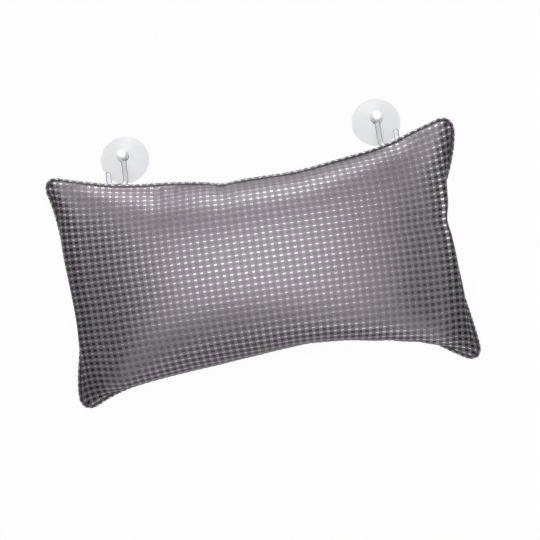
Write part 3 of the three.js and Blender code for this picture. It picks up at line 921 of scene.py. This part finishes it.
def clear_material(name, colour, edge_shade, edge, roughness, ior, cloud, clear):
    """Clear plastic with faint flow marks. Where it slants, between the shares in edge, it takes the dark
    edge colour, painted shade for the dark its edges show; cloud is how much the marks roughen it, and clear
    how much light goes through."""
    material, tree, skin = new_material(name)
    noise = tree.nodes.new("ShaderNodeTexNoise")
    noise.inputs["Scale"].default_value = 90
    noise.inputs["Detail"].default_value = 3
    dim = tuple(FLOW_MARKS * c for c in colour[:3]) + (1,)
    body = colour_mix(tree, noise.outputs[0], dim, colour)
    # Painted shade: where the plastic slants from the view, its colour turns to the dark edge colour.
    facing = tree.nodes.new("ShaderNodeLayerWeight")
    facing.inputs["Blend"].default_value = 0.5
    middle = falling(tree, facing.outputs["Facing"], *edge)
    body = colour_mix(tree, middle, edge_shade, body)
    tree.links.new(body, skin.inputs["Base Color"])
    tree.links.new(maths(tree, "MULTIPLY_ADD", noise.outputs[0], cloud, roughness), skin.inputs["Roughness"])
    skin.inputs["Transmission Weight"].default_value = clear
    skin.inputs["IOR"].default_value = ior
    bumpy(tree, skin, noise.outputs[0], 0.05, 0.0003)
    return material


# Each second colour is painted shade for the slanting edges.
hook_plastic = clear_material(
    "clear_plastic", (0.95, 0.97, 1, 1), (0.01, 0.012, 0.016, 1), edge=(0.15, 0.55),
    roughness=0.02, ior=1.49, cloud=0.05, clear=1.0,
)
cup_vinyl = clear_material(
    "clear_vinyl", (0.82, 0.825, 0.84, 1), (0.45, 0.46, 0.49, 1), edge=(0.3, 0.8),
    roughness=0.35, ior=1.3, cloud=0.1, clear=0.85,
)
knob_vinyl = clear_material(
    "thick_vinyl", (1, 1, 1, 1), (0.6, 0.61, 0.64, 1), edge=(0.5, 0.95),
    roughness=0.1, ior=1.3, cloud=0.1, clear=0.2,
)
print("clear materials", [m.name for m in (hook_plastic, cup_vinyl, knob_vinyl)])

# %% The hook's rod
ROD_RADIUS = 2.4
ROD_START = 0.6  # from the collar's bore to the rod's square end
REACH = 29.0  # from the rod's middle in the loop to the cup's axis
SHANK_X = 8.0
BEND_RADIUS = 6.5
TIP_Y = 13.5
COLLAR_BORE, COLLAR_RADIUS, COLLAR_HALF = 3.9, 5.5, 1.8


def hanger_matrix(side):
    """From a hook's own plane, with its shank along +Y, to its place at rest."""
    hinge = np.array(joints[f"{side}_hook_swing"]["pos_m"]) / MM
    axis = np.array(joints[f"{side}_cup_turn"]["axis"])
    droop = math.atan2(axis[1], axis[2])
    turn = np.array(Matrix.Rotation(-droop, 3, "X"))
    return lambda points: np.asarray(points) @ turn.T + hinge


def rod_path(sign):
    """The rod's middle line; sign is the side of the U on which the tip stands."""
    arc = np.linspace(0, math.pi / 2, 13)
    shank = [(-SHANK_X, y) for y in np.linspace(REACH - COLLAR_BORE - ROD_START, BEND_RADIUS, 16)]
    centre = SHANK_X - BEND_RADIUS
    first = [(-centre - BEND_RADIUS * math.cos(a), BEND_RADIUS * (1 - math.sin(a))) for a in arc[1:]]
    second = [(centre + BEND_RADIUS * math.sin(a), BEND_RADIUS * (1 - math.cos(a))) for a in arc]
    tip = [(SHANK_X, y) for y in np.linspace(BEND_RADIUS, TIP_Y, 8)[1:]]
    flat = np.array(shank + first + second + tip)
    return np.column_stack([flat[:, 0] * sign, flat[:, 1], 0 * flat[:, 0]])


def swept_rod(path, radius, sides=24, cap_steps=6):
    """Points and faces of a round rod with a square start and a rounded end."""
    heading = np.gradient(path, axis=0)
    heading /= np.linalg.norm(heading, axis=1, keepdims=True)
    angles = np.linspace(0, 2 * math.pi, sides, endpoint=False)
    rings, up = [], np.array([0, 0, 1.0])
    for at, ahead in zip(path, heading):
        beside = np.cross(up, ahead)
        rings.append(at + radius * (np.cos(angles)[:, None] * beside + np.sin(angles)[:, None] * up))
    for k in range(1, cap_steps):
        lean = math.pi / 2 * k / cap_steps
        middle = path[-1] + heading[-1] * radius * math.sin(lean)
        rings.append(middle + (rings[len(path) - 1] - path[-1]) * math.cos(lean))
    points = np.vstack([*rings, path[-1] + heading[-1] * radius])
    faces = tube_faces(len(rings), sides, False).tolist()
    last = (len(rings) - 1) * sides
    faces += [[last + k, last + (k + 1) % sides, len(points) - 1] for k in range(sides)]
    faces.append(list(range(sides))[::-1])
    return points, faces


print("rod", len(rod_path(1)), "points")

# %% Turning and clean-up
LATHE_SIDES = 64


def turned(profile, sides=LATHE_SIDES):
    """A profile of (radius, height) turned about Z: its points for each side."""
    profile = np.asarray(profile, float)
    angles = np.linspace(0, 2 * math.pi, sides, endpoint=False)
    return np.dstack([
        np.cos(angles)[:, None] * profile[None, :, 0],
        np.sin(angles)[:, None] * profile[None, :, 0],
        np.broadcast_to(profile[None, :, 1], (sides, len(profile))),
    ])


def lathe_faces(rings):
    """Faces of an open profile, all the way round."""
    ids = np.arange(rings.shape[0] * rings.shape[1]).reshape(rings.shape[:2])
    return quads(np.vstack([ids, ids[:1]]))


def outward_faces(made):
    """Joins the doubled points of a closed mesh and turns its faces out."""
    shell = bmesh.new()
    shell.from_mesh(made.data)
    bmesh.ops.remove_doubles(shell, verts=shell.verts, dist=1e-6)
    bmesh.ops.recalc_face_normals(shell, faces=shell.faces)
    shell.to_mesh(made.data)
    shell.free()
    return made


print("lathe", LATHE_SIDES, "sides")

# %% Hooks
COLLAR_ROUND = 0.7
BORE_HALF = 6.0  # the cutter for the bore stands out of the collar
SIDES = (("left", -1), ("right", 1))


def rounded_collar():
    """The collar's section: a ring with rounded edges, turned about the neck's axis."""
    corner = COLLAR_ROUND
    arcs = [
        (COLLAR_RADIUS - corner, COLLAR_HALF - corner, 0),
        (COLLAR_BORE + corner, COLLAR_HALF - corner, 90),
        (COLLAR_BORE + corner, corner - COLLAR_HALF, 180),
        (COLLAR_RADIUS - corner, corner - COLLAR_HALF, 270),
    ]
    return [
        (r + corner * math.cos(math.radians(start + a)), z + corner * math.sin(math.radians(start + a)))
        for r, z, start in arcs
        for a in (0, 30, 60, 90)
    ]


def clear_hook(side, sign):
    place = hanger_matrix(side)
    points, faces = swept_rod(rod_path(sign), ROD_RADIUS)
    rod = outward_faces(new_mesh_object(f"{side}_clear_hook", place(points), faces))
    rings = turned(rounded_collar()) + np.array([-SHANK_X * sign, REACH, 0])
    faces = tube_faces(LATHE_SIDES, rings.shape[1], True)
    collar = outward_faces(new_mesh_object(f"{side}_collar", place(rings.reshape(-1, 3)), faces))
    bore_profile = [(0, -BORE_HALF), (COLLAR_BORE, -BORE_HALF), (COLLAR_BORE, BORE_HALF), (0, BORE_HALF)]
    rings = turned(bore_profile) + np.array([-SHANK_X * sign, REACH, 0])
    bore = outward_faces(new_mesh_object(f"{side}_bore", place(rings.reshape(-1, 3)), lathe_faces(rings)))
    for other, operation in ((bore, "DIFFERENCE"), (collar, "UNION")):
        cut = rod.modifiers.new(operation, "BOOLEAN")
        cut.operation = operation
        cut.object = other
        cut.solver = "EXACT"
    joined = bpy.data.meshes.new_from_object(rod.evaluated_get(bpy.context.evaluated_depsgraph_get()))
    rod.modifiers.clear()
    rod.data = joined
    for other in (collar, bore):
        bpy.data.objects.remove(other)
    joined.shade_smooth()
    joined.set_sharp_from_angle(angle=math.radians(40))
    return rod


for side, sign in SIDES:
    made = clear_hook(side, sign)
    made.data.materials.clear()
    made.data.materials.append(hook_plastic)
    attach(made, f"{side}_hook")
    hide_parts(f"{side}_hook")
    print(made.name, len(made.data.polygons), "faces")

# %% [markdown]
# ## Suction cups
# A cup is one soft vinyl moulding with a thin dished skirt, a flat sealing lip, a neck and a ball knob
# that keeps the collar on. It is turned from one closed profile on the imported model's measures, and its
# knob, which is thicker than the skirt, gets a milkier vinyl.

# %% Cups
CUP_RADIUS, LIP_WIDTH, LIP_THICKNESS = 23.0, 2.0, 1.0
HOLLOW_DEPTH, SHOULDER, NECK_RADIUS, NECK_LENGTH, KNOB_RADIUS = 7.0, 10.0, 3.5, 8.0, 4.6
COLLAR_HEIGHT = 13.1  # from the lip to the middle of the collar
DOME_FULLNESS = 1.2
CUP_SIDES = 96


def cup_profile():
    seat = math.sqrt(KNOB_RADIUS**2 - NECK_RADIUS**2)
    knob = SHOULDER + NECK_LENGTH + seat
    hollow = CUP_RADIUS - LIP_WIDTH
    inside = [(hollow * a, HOLLOW_DEPTH * (1 - a**2)) for a in np.linspace(0, 1, 25)]
    edge = CUP_RADIUS - LIP_THICKNESS / 2
    lip = [
        (edge + LIP_THICKNESS / 2 * math.cos(a), LIP_THICKNESS / 2 * (1 + math.sin(a)))
        for a in np.linspace(-math.pi / 2, math.pi / 2, 9)
    ]
    span = edge - NECK_RADIUS
    rise = SHOULDER - LIP_THICKNESS
    dome = [
        (NECK_RADIUS + span * a, LIP_THICKNESS + rise * (1 - a**DOME_FULLNESS))
        for a in np.linspace(1, 0, 25)[1:]
    ]
    ball_start = math.acos(-seat / KNOB_RADIUS)
    ball = [
        (KNOB_RADIUS * math.sin(a), knob + KNOB_RADIUS * math.cos(a))
        for a in np.linspace(ball_start, 0, 20)
    ]
    return inside + lip + dome + ball


def clear_cup(side, sign):
    place = hanger_matrix(side)
    rings = turned(cup_profile(), CUP_SIDES) + np.array([-SHANK_X * sign, REACH, -COLLAR_HEIGHT])
    made = new_mesh_object(f"{side}_clear_cup", place(rings.reshape(-1, 3)), lathe_faces(rings))
    outward_faces(made)
    made.data.shade_smooth()
    made.data.set_sharp_from_angle(angle=math.radians(50))
    return made


def mark_knob(made, side):
    """Gives the thick knob, which looks milkier than the skirt, its own material."""
    joint = joints[f"{side}_cup_turn"]
    axis, foot = Vector(joint["axis"]), Vector(joint["pos_m"])
    for face in made.data.polygons:
        height = (face.center - foot).dot(axis) / MM
        face.material_index = int(height > SHOULDER + NECK_LENGTH)


for side, sign in SIDES:
    made = clear_cup(side, sign)
    made.data.materials.append(cup_vinyl)
    made.data.materials.append(knob_vinyl)
    mark_knob(made, side)
    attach(made, f"{side}_cup")
    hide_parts(f"{side}_suction_cup")
    print(made.name, len(made.data.polygons), "faces")
